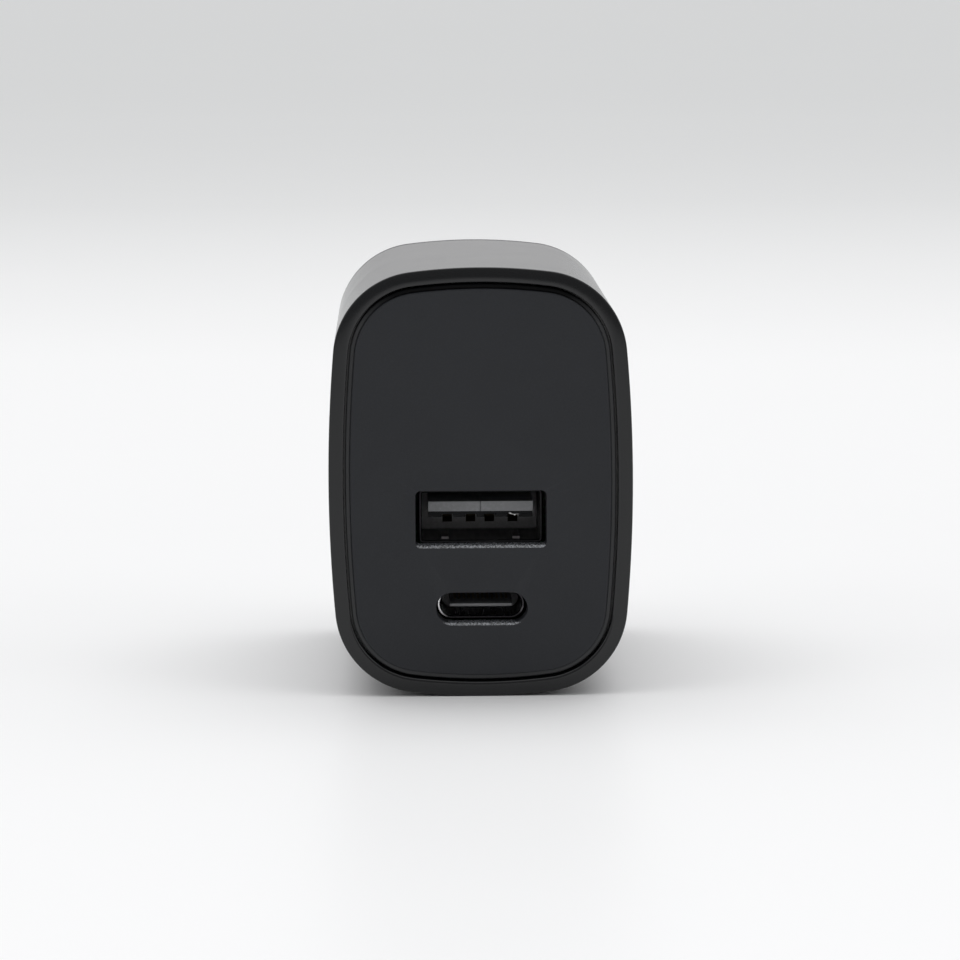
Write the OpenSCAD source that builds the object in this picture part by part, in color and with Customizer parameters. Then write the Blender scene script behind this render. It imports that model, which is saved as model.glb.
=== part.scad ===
// Dual-port USB wall charger with a folding two-blade plug.
// The charger lies on its lower side: X runs across the port face, Y from the
// port face (-Y) to the wall face (+Y), Z up from the surface it rests on.

/* [Body] */
// Width across the port face
body_w = 32.1; // [31:0.1:34]
// Height of the port face
body_h = 45.5; // [45:0.1:48]
// Depth from the port face to the wall face
body_d = 47; // [47:0.5:52]
// Radius of the slightly bowed left and right sides
side_r = 160; // [120:5:220]
// Radius of the bowed upper and lower sides
cap_r = 59; // [55:1:80]
// Radius of the four corners
corner_r = 9.2; // [8.5:0.1:9.6]
// Thickness of the housing wall
wall = 1.9; // [1.8:0.05:1.9]
// Width of the rim that frames the port face
rim_w = 1.55; // [1.4:0.05:1.6]
// Radius of the rim's outer edge
rim_edge = 0.2; // [0.1:0.05:0.5]
// Radius of the edge round the wall face
rear_edge = 2.4; // [1.5:0.1:2.6]
// Depth of the rear cover, from the wall face to the seam
cover_d = 3.6; // [3.2:0.1:4]

/* [Front panel] */
// Gap between the rim and the panel
panel_gap = 0.2; // [0.1:0.05:0.25]
// How far the panel's face lies behind the rim
panel_recess = 0.2; // [0.1:0.05:0.4]
// Width of the stepped ledge round the panel
ledge_w = 0.5; // [0.3:0.05:0.6]
// How far the ledge lies behind the panel's face
ledge_step = 0.5; // [0.1:0.05:0.6]
// Depth of the panel's rear face behind the rim
panel_back = 2.2; // [2:0.1:2.2]

/* [Ports] */
// Width of the USB-A opening
port_a_w = 13.6; // [13.3:0.1:14]
// Height of the USB-A opening
port_a_h = 5.8; // [5.75:0.05:6.2]
// Centre of the USB-A opening, measured up from the middle of the face
port_a_y = -3.86; // [-4:0.02:-3.6]
// Width of the USB-C opening
port_c_w = 9.4; // [9.2:0.05:9.7]
// Height of the USB-C opening
port_c_h = 3.5; // [3.4:0.05:3.7]
// Centre of the USB-C opening, measured up from the middle of the face
port_c_y = -13.38; // [-14:0.05:-13]

/* [Plug] */
// Distance between the blade centres
blade_pitch = 12.7; // [12.6:0.05:12.8]
// Blade thickness
blade_t = 1.5; // [1.4:0.01:1.6]
// Blade width
blade_w = 6.35; // [6.2:0.05:6.4]
// Blade length standing out of the wall face when it is open
blade_out = 16.5; // [15.9:0.1:17]
// Radius of the hole near each blade's tip
blade_hole_r = 1.6; // [1.5:0.05:1.7]
// Radius of the blade carrier's barrel
barrel_r = 3.45; // [3.4:0.05:3.5]
// Radius of the carrier's trunnions
trunnion_r = 1.9; // [1.7:0.05:1.95]
// Radial running clearance of the trunnions
trunnion_play = 0.05; // [0.03:0.01:0.08]

/* [Hidden] */
$fn = 64;
eps = 0.01;

half_w = body_w / 2;
half_h = body_h / 2;
half_d = body_d / 2;

// The face outline is eight tangent arcs: a long arc on each side and a corner
// arc between neighbours. side_c and cap_c place the long arcs' centres, and
// corner_c is the corner arc's, where circles of side_r - corner_r and
// cap_r - corner_r about them cross.
side_c = half_w - side_r;
cap_c = half_h - cap_r;
side_in = side_r - corner_r;
cap_in = cap_r - corner_r;
centre_gap = norm([side_c, cap_c]);
along = (side_in * side_in - cap_in * cap_in + centre_gap * centre_gap) / (2 * centre_gap);
across = sqrt(side_in * side_in - along * along);
ux = -side_c / centre_gap;
uy = cap_c / centre_gap;
corner_c = [side_c + ux * along - uy * across, uy * along + ux * across];
side_a = atan2(corner_c[1], corner_c[0] - side_c);
cap_a = atan2(corner_c[0], corner_c[1] - cap_c);

hinge_y = 8.7;      // the hinge axis above the middle of the wall face
hinge_t = 3.7;      // the hinge axis behind the wall face
hinge_z = hinge_t - half_d;
blade_x = blade_pitch / 2;
blade_l = blade_out + hinge_t;
bay = barrel_r + 0.4;
seat_r = trunnion_r + trunnion_play;
slot_x = blade_t / 2 + 0.4;
finger_y = -7.6;    // middle of the finger scoop
finger_r = 6.5;
finger_out = 1.4;   // the scoop's axis stands this far outside the wall face
floor_t = 2.4;      // thickness of the rear cover's floor
plate_t = 10.4;     // the retainer lies this far inside the wall face

mouth_s = 2.35;     // the receptacles' mouths, behind the rim
tongue_s = 2.95;    // the receptacles' tongues, behind the rim
port_board_s = 14.5;
main_board_s = 32;
board_t = 1.2;
board_inset = 3.2;
screw_at = [[10.1, 15.8], [11.4, 0.6]];
pin_at = [for (i = [0 : 5]) [-6.35 + 2.54 * i, 6.4]];

// ---------------------------------------------------------------- helpers

// Local frame: the face lies in XY and +Z points out of the port face. s is a
// distance behind the rim, t a distance inside the wall face.
module place() { translate([0, 0, half_h]) rotate([90, 0, 0]) children(); }
module layer(s0, s1) { translate([0, 0, half_d - s1]) linear_extrude(s1 - s0) children(); }
module box(x0, x1, y0, y1, s0, s1) { translate([x0, y0, half_d - s1]) cube([x1 - x0, y1 - y0, s1 - s0]); }
module tbox(x0, x1, y0, y1, t0, t1) { translate([x0, y0, t0 - half_d]) cube([x1 - x0, y1 - y0, t1 - t0]); }
module rod(x, y, r, s0, s1) { translate([x, y, half_d - s1]) cylinder(r = r, h = s1 - s0); }
module trod(x, y, r, t0, t1) { translate([x, y, t0 - half_d]) cylinder(r = r, h = t1 - t0); }
// A cylinder along X about (y, t)
module xrod(y, t, r, x0, x1) { translate([x0, y, t - half_d]) rotate([0, 90, 0]) cylinder(r = r, h = x1 - x0); }
// A plate across X, from an outline drawn in Y and Z
module xplate(x0, x1) { translate([x0, 0, 0]) rotate([90, 0, 90]) linear_extrude(x1 - x0) children(); }
module mirrored() { children(); mirror([1, 0, 0]) children(); }

module round_rect(w, h, r) {
  square([w - 2 * r, h], center = true);
  square([w, h - 2 * r], center = true);
  for (x = [-1, 1], y = [-1, 1]) translate([x * (w / 2 - r), y * (h / 2 - r)]) circle(r);
}
module stadium(w, h) {
  square([w - h, h], center = true);
  for (x = [-1, 1]) translate([x * (w - h) / 2, 0]) circle(h / 2);
}

// Points of an arc about c from angle a0 to a1, without its last point
function arc(c, r, a0, a1, n) =
  [for (i = [0 : n - 1]) let (a = a0 + (a1 - a0) * i / n) [c[0] + r * cos(a), c[1] + r * sin(a)]];
function quarter(t) = concat(
  arc([side_c, 0], side_r - t, 0, side_a, 4),
  arc(corner_c, corner_r - t, side_a, 90 - cap_a, 14),
  arc([0, cap_c], cap_r - t, 90 - cap_a, 90, 5));
// The face outline taken in by t
function outline(t) = let (q = quarter(t), n = len(q)) concat(
  q,
  [[0, half_h - t]],
  [for (i = [n - 1 : -1 : 1]) [-q[i][0], q[i][1]]],
  [[t - half_w, 0]],
  [for (i = [1 : n - 1]) [-q[i][0], -q[i][1]]],
  [[0, t - half_h]],
  [for (i = [n - 1 : -1 : 1]) [q[i][0], -q[i][1]]]);

// A straight piece of the outline taken in by inset
module slab(inset, s0, s1) { layer(s0, s1) polygon(outline(inset)); }

// The full outline from s0 to s1, with its edges rounded by f0 and f1
module rounded_slab(s0, s1, f0, f1) {
  steps = 4;
  rings = concat(
    f0 > 0 ? [for (i = [0 : steps - 1]) let (a = 90 * i / steps) [s0 + f0 * (1 - cos(a)), f0 * (1 - sin(a))]] : [],
    [[s0 + f0, 0], [s1 - f1, 0]],
    f1 > 0 ? [for (i = [1 : steps]) let (a = 90 * i / steps) [s1 - f1 * (1 - sin(a)), f1 * (1 - cos(a))]] : []);
  n = len(outline(0));
  m = len(rings);
  polyhedron(
    points = [for (r = rings, p = outline(r[1])) [p[0], p[1], half_d - r[0]]],
    faces = concat(
      [[for (i = [n - 1 : -1 : 0]) i]],
      [for (k = [0 : m - 2], i = [0 : n - 1], h = [0, 1]) let (j = (i + 1) % n)
        h == 0 ? [k * n + i, k * n + j, (k + 1) * n + j] : [k * n + i, (k + 1) * n + j, (k + 1) * n + i]],
      [[for (i = [0 : n - 1]) (m - 1) * n + i]]));
}

// ---------------------------------------------------------------- housing

// One-piece sleeve: the side walls, the rim, a shelf that the panel seats on,
// and stops for the port board
module outer_shell() {
  color("#262729") place() {
    difference() {
      rounded_slab(0, body_d - cover_d, rim_edge, 0);
      slab(rim_w, -1, panel_back);
      slab(3, panel_back - eps, 3.6);
      slab(wall, 3.5, body_d);
    }
    for (y = [-9, 4]) mirrored() box(12.4, 14.5, y, y + 3, port_board_s - 2.5, port_board_s);
  }
}

// Snap hook on the panel's back, at its top edge
module panel_hook() {
  y = half_h - 3.2;
  box(-3, 3, y - 1.1, y, panel_back - eps, 4.7);
  box(-3, 3, y - eps, y + 0.7, 3.6, 4.4);
}

// Inset fascia with a stepped edge, the two port openings and its snap hooks
module front_panel() {
  edge = rim_w + panel_gap;
  color("#313235") place() difference() {
    union() {
      slab(edge, panel_recess + ledge_step, panel_back);
      slab(edge + ledge_w, panel_recess, panel_back - 0.5);
      panel_hook();
      mirror([0, 1, 0]) panel_hook();
    }
    translate([0, port_a_y, 0]) layer(-1, 3) round_rect(port_a_w, port_a_h, 0.6);
    translate([0, port_c_y, 0]) layer(-1, 3) stadium(port_c_w, port_c_h);
  }
}

// The space that the folding plug sweeps and lies in, open at the wall face
module plug_well() {
  tbox(-9.3, 9.3, hinge_y - bay, hinge_y + bay, -1, 13);
  for (x = [-blade_x, blade_x]) {
    tbox(x - slot_x, x + slot_x, hinge_y - blade_l - 0.7, hinge_y, -1, 7.4);
    tbox(x - slot_x, x + slot_x, hinge_y, hinge_y + bay + 1.4, 0.9, 13);
  }
  xrod(finger_y, -finger_out, finger_r, slot_x - blade_x, blade_x - slot_x);
}

// End cover: floor, rounded edge, weld lip, plug well, trunnion seats, screw
// bosses and two posts that steady the main board
module rear_cover() {
  well_low = hinge_y - blade_l - 1.9;
  color("#262729") place() difference() {
    union() {
      rounded_slab(body_d - cover_d, body_d, 0, rear_edge);
      difference() {
        slab(wall + 0.06, body_d - cover_d - 3, body_d - cover_d + 0.5);
        slab(wall + 1.06, body_d - cover_d - 4, body_d - cover_d + 1);
      }
      tbox(-12.6, 12.6, hinge_y - bay - 1.5, hinge_y + bay + 2.1, 1, plate_t);
      tbox(-8.9, 8.9, well_low, hinge_y, 1, 8.6);
      mirrored() for (p = screw_at) trod(p[0], p[1], 1.9, 1, plate_t);
      mirrored() trod(8.2, -16.8, 1.4, 1, body_d - main_board_s - board_t);
    }
    // hollow of the cover's rim, outside the well block
    difference() {
      slab(wall + 1.06, body_d - cover_d - 0.5, body_d - floor_t);
      tbox(-12.6, 12.6, hinge_y - bay - 1.5, hinge_y + bay + 2.1, 0, 9);
      tbox(-8.9, 8.9, well_low, hinge_y, 0, 9);
      mirrored() for (p = screw_at) trod(p[0], p[1], 1.9, 0, 9);
      mirrored() trod(8.2, -16.8, 1.4, 0, 9);
    }
    plug_well();
    mirrored() {
      xrod(hinge_y, hinge_t, seat_r, 9, 11.5);
      tbox(9, 11.5, hinge_y - seat_r, hinge_y + seat_r, hinge_t, 13);
      for (p = screw_at) trod(p[0], p[1], 0.75, 4, 13);
    }
  }
}

// Plate screwed inside the cover: it closes the trunnion seats and carries the
// three springs
module plug_retainer() {
  color("#3a3b3e") place() difference() {
    union() {
      intersection() {
        slab(wall + 0.4, body_d - plate_t - 1.5, body_d - plate_t);
        tbox(-13.2, 13.2, -1.5, 17.8, 0, 20);
      }
      mirrored() tbox(9.5, 11.3, hinge_y - seat_r + 0.1, hinge_y + seat_r - 0.1, hinge_t + 0.1, plate_t + eps);
    }
    mirrored() {
      xrod(hinge_y, hinge_t, seat_r, 9, 12);
      for (p = screw_at) trod(p[0], p[1], 0.85, 8, 13);
      tbox(blade_x - 1.05, blade_x + 1.05, hinge_y + 2.9, hinge_y + 3.7, 8, 13);
    }
  }
}

module retainer_screw() {
  difference() {
    union() {
      trod(0, 0, 0.7, 4.6, plate_t + 1.6);
      trod(0, 0, 1.5, plate_t + 1.5, plate_t + 2.5);
    }
    tbox(-1, 1, -0.2, 0.2, plate_t + 2, plate_t + 3);
    tbox(-0.2, 0.2, -1, 1, plate_t + 2, plate_t + 3);
  }
}
module retainer_screws() {
  color("#b9bbbe") place() mirrored() for (p = screw_at) translate([p[0], p[1], 0]) retainer_screw();
}

// ---------------------------------------------------------------- plug

// Side outline of one blade in Y and Z, folded: a bar down from the hinge with
// a bevelled tip, and a heel above it that wipes the contact spring
module blade_outline() {
  translate([hinge_y, hinge_z]) difference() {
    union() {
      polygon([[0, -blade_w / 2], [0, blade_w / 2], [1.4 - blade_l, blade_w / 2],
        [-blade_l, blade_w / 2 - 1.1], [-blade_l, 1.1 - blade_w / 2], [1.4 - blade_l, -blade_w / 2]]);
      intersection() {
        circle(4.75);
        translate([-0.5, -2.4]) square([6, 4.8]);
      }
    }
    translate([4.2 - blade_l, 0]) circle(blade_hole_r);
  }
}
module blade(x) { xplate(x - blade_t / 2, x + blade_t / 2) blade_outline(); }
module blade_left() { color("#c9cbcd") place() blade(-blade_x); }
module blade_right() { color("#c9cbcd") place() blade(blade_x); }

// Moulded bar that holds both blades: a barrel with two detent flats, a collar
// round each blade, and a trunnion at each end
module blade_carrier() {
  color("#2b2c2e") place() difference() {
    union() {
      xrod(hinge_y, hinge_t, barrel_r, -8.9, 8.9);
      xrod(hinge_y, hinge_t, trunnion_r, -11.2, 11.2);
    }
    tbox(-3.3, 3.3, hinge_y - 4, hinge_y + 4, hinge_t + 3.1, hinge_t + 4);
    tbox(-3.3, 3.3, hinge_y + 3.1, hinge_y + 4, hinge_t - 4, hinge_t + 4);
    blade(-blade_x);
    blade(blade_x);
  }
}

// Bent leaf between the retainer and the barrel's flats
module detent_spring() {
  t0 = hinge_t + barrel_r + 0.12;
  color("#d0d2d4") place() {
    tbox(-2.8, 2.8, hinge_y - 3.3, hinge_y + 3.3, t0, t0 + 0.3);
    tbox(-2.8, 2.8, hinge_y - 3.3, hinge_y - 3, t0, plate_t);
    tbox(-2.8, 2.8, hinge_y + 3, hinge_y + 3.3, t0, plate_t);
  }
}

// Leaf that the blade's heel wipes, with a leg through the retainer to the board
module contact_spring() {
  tbox(blade_x - 0.9, blade_x + 0.9, hinge_y - 3, hinge_y + 3.5, 8.6, 8.9);
  tbox(blade_x - 0.9, blade_x + 0.9, hinge_y + 3.2, hinge_y + 3.5, 8.6, body_d - main_board_s - board_t);
}
module live_contact_spring() { color("#c98f4e") place() mirror([1, 0, 0]) contact_spring(); }
module neutral_contact_spring() { color("#c98f4e") place() contact_spring(); }

// ---------------------------------------------------------------- boards

module link_pins(s0, s1) {
  for (p = pin_at) box(p[0] - 0.32, p[0] + 0.32, p[1] - 0.32, p[1] + 0.32, s0, s1);
}
module port_board() {
  color("#1f4a34") place() difference() {
    slab(board_inset, port_board_s, port_board_s + board_t);
    link_pins(port_board_s - 1, port_board_s + 2);
  }
}
module main_board() {
  color("#1f4a34") place() difference() {
    slab(board_inset, main_board_s, main_board_s + board_t);
    link_pins(main_board_s - 1, main_board_s + 2);
    mirrored() tbox(blade_x - 0.95, blade_x + 0.95, hinge_y + 3.15, hinge_y + 3.55,
      body_d - main_board_s - board_t - 1, body_d - main_board_s - board_t + 0.3);
  }
}
module board_link_pins() {
  color("#d8c27a") place() link_pins(port_board_s + 0.1, main_board_s + board_t + 0.4);
}

// ---------------------------------------------------------------- receptacles

// Folded steel shell with a slightly flared mouth and two spring fingers below
module usb_a_shell() {
  color("#b4b7ba") place() translate([0, port_a_y, 0]) difference() {
    layer(mouth_s, port_board_s) round_rect(13.1, 5.7, 0.45);
    layer(mouth_s - 1, port_board_s - 0.3) round_rect(12.5, 5.12, 0.25);
    for (x = [-1, 1], k = [-0.75, 0.55])
      box(x * 3.4 + k, x * 3.4 + k + 0.2, -4, -2.4, 4.2, 9.2);
  }
}
// Insulating tongue with a bevelled lower lip, on the block that fills the shell
module usb_a_tongue() {
  z = half_d - tongue_s;
  color("#6b6d70") place() difference() {
    union() {
      xplate(-5.55, 5.55) polygon([[-2.28, z], [-3.39, z], [-3.39, z - 1.1], [-4.12, z - 1.3], [-4.12, z - 9], [-2.28, z - 9]]);
      translate([0, port_a_y, 0]) layer(tongue_s + 8.9, port_board_s - 0.3) round_rect(12.5, 5.12, 0.25);
    }
    for (x = [-3.5, -1, 1, 3.5]) box(x - 0.62, x + 0.62, -4.2, -3.55, tongue_s - 1, tongue_s + 8.9);
  }
}
// Four bowed spring contacts under the tongue
module usb_a_contacts() {
  z = half_d - tongue_s;
  color("#d6b765") place() for (x = [-3.5, -1, 1, 3.5]) xplate(x - 0.5, x + 0.5)
    polygon([[-3.6, z - 1.6], [-4.2, z - 2], [-4.95, z - 3.7], [-4.95, z - 4.6], [-4.15, z - 7], [-3.85, z - 8.9],
      [-3.6, z - 8.9], [-3.85, z - 6.9], [-4.65, z - 4.5], [-4.65, z - 3.8], [-3.9, z - 2.2], [-3.6, z - 1.9]]);
}
module usb_c_shell() {
  color("#b4b7ba") place() translate([0, port_c_y, 0]) difference() {
    layer(mouth_s, port_board_s) stadium(8.94, 3.16);
    layer(mouth_s - 1, port_board_s - 0.3) stadium(8.34, 2.56);
  }
}
module usb_c_tongue() {
  color("#4a4b4e") place() translate([0, port_c_y, 0]) {
    box(-3.345, 3.345, -0.35, 0.35, tongue_s, tongue_s + 6.1);
    layer(tongue_s + 6, port_board_s - 0.3) stadium(8.34, 2.56);
  }
}
module usb_c_contacts() {
  color("#d6b765") place() translate([0, port_c_y, 0]) for (i = [0 : 11], k = [0, 1])
    mirror([0, k, 0]) box(i * 0.5 - 2.875, i * 0.5 - 2.625, 0.35, 0.42, tongue_s + 0.6, tongue_s + 6);
}

// ---------------------------------------------------------------- electronics

// Round can with a rubber-sealed end that stands on a board
module can(x, y, r, s0, s1) {
  rod(x, y, r, s0, s1 - 1.2);
  rod(x, y, r - 0.25, s1 - 1.3, s1 - 0.7);
  rod(x, y, r, s1 - 0.8, s1);
}
module output_capacitors() {
  color("#c2c5c8") place() for (p = [[-7.2, 13.2], [0, 14.6], [7.2, 13.2]]) can(p[0], p[1], 3.15, 5.5, port_board_s);
}
module output_inductor() {
  color("#57595c") place() difference() {
    box(-11, -4.2, 2.4, 8.6, port_board_s - 4.2, port_board_s);
    box(-8.4, -6.8, 2.3, 2.7, port_board_s - 3, port_board_s + 1);
    box(-8.4, -6.8, 8.3, 8.7, port_board_s - 3, port_board_s + 1);
  }
}
module port_controller_chips() {
  color("#2a2b2c") place() {
    box(-1.6, 3.4, 1, 5, port_board_s - 0.9, port_board_s);
    box(6.2, 10.2, 2.6, 6.6, port_board_s - 0.9, port_board_s);
    box(-9, -7, -14.4, -11.6, port_board_s - 0.8, port_board_s);
    box(7, 9, -14.4, -11.6, port_board_s - 0.8, port_board_s);
  }
}
// Thin sleeve of film between the high-voltage board and the housing
module insulation_sheet() {
  color("#d9cfa8") place() difference() {
    slab(wall + 0.25, 16.2, main_board_s + 1.4);
    slab(wall + 0.5, 15, main_board_s + 3);
  }
}

trafo_y = -9.3;
// Two E-shaped ferrite halves closed round the bobbin
module transformer_core() {
  color("#3b3b3d") place() difference() {
    box(-8.6, 8.6, trafo_y - 4, trafo_y + 4, 18.4, 31);
    for (x = [-6.3, 2.7]) box(x, x + 3.6, trafo_y - 5, trafo_y + 5, 20.6, 28.8);
  }
}
module transformer_bobbin() {
  color("#2f5d46") place() difference() {
    union() {
      for (s = [20.8, 27.6]) translate([0, trafo_y, 0]) layer(s, s + 1) round_rect(12.2, 15.4, 2);
      box(-3.3, 3.3, trafo_y - 4.7, trafo_y + 4.7, 20.8, 28.6);
      for (y = [-1, 1]) box(-8, 8, trafo_y + y * 6.1 - 1.5, trafo_y + y * 6.1 + 1.5, 28.5, main_board_s);
    }
    box(-2.7, 2.7, trafo_y - 4, trafo_y + 4, 18, 31);
  }
}
module transformer_winding() {
  color("#e0b54a") place() difference() {
    translate([0, trafo_y, 0]) layer(21.8, 27.6) round_rect(11.9, 15, 2.4);
    box(-3.3, 3.3, trafo_y - 4.7, trafo_y + 4.7, 20, 30);
  }
}
module bulk_capacitors() {
  color("#20324f") place() for (x = [-6.3, 6.3]) can(x, 12.4, 4.9, 17.2, main_board_s);
}
module x_capacitor() { color("#d8b23c") place() box(-12.1, -9, -10.5, 1, 20.5, main_board_s); }
module y_capacitor() {
  color("#3f74a8") place() difference() {
    translate([0, 4.2, half_d - 27.2]) rotate([0, 90, 0]) translate([0, 0, 8.4]) cylinder(r = 3.1, h = 2.6);
    box(8, 12, 0, 8, 29.9, 31);
  }
}
// Ring core of the mains filter choke, standing on its rim
module choke_ring(r0, r1, x0, x1, a0, a1) {
  translate([0, -5.2, half_d - 25.9]) rotate([0, 90, 0]) translate([0, 0, x0]) rotate(a0)
    rotate_extrude(angle = a1 - a0) translate([r0, 0]) square([r1 - r0, x1 - x0]);
}
module choke_core() { color("#3f6b4c") place() choke_ring(2.4, 4.8, 9.7, 11.6, 0, 360); }
module choke_windings() {
  color("#b8733a") place() for (a = [20, 200]) difference() {
    choke_ring(1.9, 5.3, 9.2, 12.1, a, a + 140);
    choke_ring(2.4, 4.8, 9.7, 11.6, 0, 360);
  }
}
module fuse() { color("#2c2d30") place() rod(-9.8, 4.6, 2.1, main_board_s - 7.5, main_board_s); }
module bridge_rectifier() { color("#2a2b2c") place() box(-5.6, -0.8, 0.6, 5.2, main_board_s - 1.7, main_board_s); }
module power_switch_chip() { color("#2a2b2c") place() box(0.6, 5.6, 0.6, 5.4, main_board_s - 1, main_board_s); }
module optocoupler() { color("#e9e9e6") place() box(-2.4, 2.4, 16.6, 19, main_board_s - 3.4, main_board_s); }
// Folded strip that takes heat to the housing's upper wall
module heat_spreader() {
  color("#b98556") place() {
    box(-5, 5, 19.2, 19.5, 17.5, main_board_s);
    box(-0.8, 0.8, 11, 19.3, 17.5, 17.8);
  }
}
module thermal_pad() { color("#a9b6c4") place() box(-6, 6, trafo_y - 4, trafo_y + 4, port_board_s + board_t, 18.4); }

outer_shell();
front_panel();
rear_cover();
plug_retainer();
retainer_screws();
blade_carrier();
blade_left();
blade_right();
detent_spring();
live_contact_spring();
neutral_contact_spring();
port_board();
main_board();
board_link_pins();
usb_a_shell();
usb_a_tongue();
usb_a_contacts();
usb_c_shell();
usb_c_tongue();
usb_c_contacts();
output_capacitors();
output_inductor();
port_controller_chips();
insulation_sheet();
transformer_core();
transformer_bobbin();
transformer_winding();
bulk_capacitors();
x_capacitor();
y_capacitor();
choke_core();
choke_windings();
fuse();
bridge_rectifier();
power_switch_chip();
optocoupler();
heat_spreader();
thermal_pad();
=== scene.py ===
import math

import bmesh
import bpy
from mathutils import Matrix, Vector
from mathutils.geometry import delaunay_2d_cdt


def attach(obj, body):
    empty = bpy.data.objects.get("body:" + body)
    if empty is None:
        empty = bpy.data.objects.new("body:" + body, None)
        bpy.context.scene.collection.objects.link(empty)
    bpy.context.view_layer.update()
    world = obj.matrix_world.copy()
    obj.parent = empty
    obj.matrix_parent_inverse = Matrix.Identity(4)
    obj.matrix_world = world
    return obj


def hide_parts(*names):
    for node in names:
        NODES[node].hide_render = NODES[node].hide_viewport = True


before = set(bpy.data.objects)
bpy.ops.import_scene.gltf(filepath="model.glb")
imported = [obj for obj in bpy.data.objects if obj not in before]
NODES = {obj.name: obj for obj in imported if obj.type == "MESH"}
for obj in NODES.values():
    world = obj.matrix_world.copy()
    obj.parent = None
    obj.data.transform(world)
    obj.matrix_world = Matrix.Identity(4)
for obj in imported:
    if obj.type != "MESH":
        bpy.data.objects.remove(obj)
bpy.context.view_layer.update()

# ------------------------------------------------------------------ sizes, mm
HALF_W, HALF_H, HALF_D = 16.05, 22.75, 23.5
SIDE_R, CAP_R, CORNER_R = 160.0, 59.0, 9.2
SEAM = 43.4  # the seam between sleeve and rear cover, behind the rim
PORT_A_Y, PORT_C_Y = -3.86, -13.40

side_c, cap_c = HALF_W - SIDE_R, HALF_H - CAP_R
_d = math.hypot(side_c, cap_c)
_al = ((SIDE_R - CORNER_R) ** 2 - (CAP_R - CORNER_R) ** 2 + _d * _d) / (2 * _d)
_ac = math.sqrt((SIDE_R - CORNER_R) ** 2 - _al * _al)
_ux, _uy = -side_c / _d, cap_c / _d
corner_c = (side_c + _ux * _al - _uy * _ac, _uy * _al + _ux * _ac)
side_a = math.atan2(corner_c[1], corner_c[0] - side_c)
cap_a = math.atan2(corner_c[0], corner_c[1] - cap_c)


def face_outline(t, n=(10, 30, 14)):
    """Points of the face outline taken in by t, counter-clockwise."""
    q = []
    for c, r, a0, a1, k in (
        ((side_c, 0), SIDE_R - t, 0, side_a, n[0]),
        (corner_c, CORNER_R - t, side_a, math.pi / 2 - cap_a, n[1]),
        ((0, cap_c), CAP_R - t, math.pi / 2 - cap_a, math.pi / 2, n[2]),
    ):
        for i in range(k):
            a = a0 + (a1 - a0) * i / k
            q.append((c[0] + r * math.cos(a), c[1] + r * math.sin(a)))
    top = [(0, HALF_H - t)]
    left = [(t - HALF_W, 0)]
    low = [(0, t - HALF_H)]
    back = q[:0:-1]
    return (
        q
        + top
        + [(-x, y) for x, y in back]
        + left
        + [(-x, -y) for x, y in q[1:]]
        + low
        + [(x, -y) for x, y in back]
    )


def rounded(points, r, n=6):
    """A polygon with each corner rounded by r, or by the corner's own third value."""
    out = []
    k = len(points)
    for i in range(k):
        p = points[i]
        rr = p[2] if len(p) > 2 else r
        a = Vector(points[i - 1][:2]) - Vector(p[:2])
        b = Vector(points[(i + 1) % k][:2]) - Vector(p[:2])
        if rr <= 0:
            out.append((p[0], p[1]))
            continue
        a.normalize()
        b.normalize()
        half = math.acos(max(-1, min(1, a.dot(b)))) / 2
        if half > math.radians(88):
            out.append((p[0], p[1]))
            continue
        tan = rr / math.tan(half)
        c = Vector(p[:2]) + (a + b).normalized() * (rr / math.sin(half))
        p0, p1 = Vector(p[:2]) + a * tan, Vector(p[:2]) + b * tan
        v0, v1 = p0 - c, p1 - c
        turn = math.atan2(v0.x * v1.y - v0.y * v1.x, v0.dot(v1))
        for j in range(n + 1):
            w = turn * j / n
            out.append((c.x + v0.x * math.cos(w) - v0.y * math.sin(w), c.y + v0.x * math.sin(w) + v0.y * math.cos(w)))
    return [p for i, p in enumerate(out) if math.dist(p, out[i - 1]) > 1e-3]


def rect(w, h, r, cx=0.0, cy=0.0, n=7):
    """A rounded rectangle, counter-clockwise."""
    x, y = w / 2, h / 2
    return rounded([(cx + x, cy - y), (cx + x, cy + y), (cx - x, cy + y), (cx - x, cy - y)], min(r, x - 1e-4, y - 1e-4), n)


def circle(r, cx=0.0, cy=0.0, n=40):
    return [(cx + r * math.cos(2 * math.pi * i / n), cy + r * math.sin(2 * math.pi * i / n)) for i in range(n)]


def inset(loop, d):
    """A counter-clockwise loop moved inward by d; a negative d grows it."""
    out = []
    k = len(loop)
    for i in range(k):
        p0, p, p1 = loop[i - 1], loop[i], loop[(i + 1) % k]
        a = Vector((p[0] - p0[0], p[1] - p0[1]))
        b = Vector((p1[0] - p[0], p1[1] - p[1]))
        if a.length < 1e-9 or b.length < 1e-9:
            a = b = a if a.length > b.length else b
        na = Vector((-a.y, a.x)).normalized()
        nb = Vector((-b.y, b.x)).normalized()
        m = na + nb
        if m.length < 1e-6:
            m = na
        m.normalize()
        out.append((p[0] + m.x * d / max(0.3, m.dot(na)), p[1] + m.y * d / max(0.3, m.dot(na))))
    return out


def inside(x, y, loop):
    hit = False
    for (x0, y0), (x1, y1) in zip(loop, loop[1:] + loop[:1]):
        if (y0 > y) != (y1 > y) and x < (x1 - x0) * (y - y0) / (y1 - y0) + x0:
            hit = not hit
    return hit


def fits(loop, d):
    """The largest edge radius up to d that the loop's own corners leave room for."""
    k = len(loop)
    for i in range(k):
        a = Vector(loop[i]) - Vector(loop[i - 1])
        b = Vector(loop[(i + 1) % k]) - Vector(loop[i])
        turn = abs(math.atan2(a.x * b.y - a.y * b.x, a.dot(b)))
        if turn > 0.02:
            d = min(d, 0.85 * min(a.length, b.length) / turn)
    return d


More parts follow.
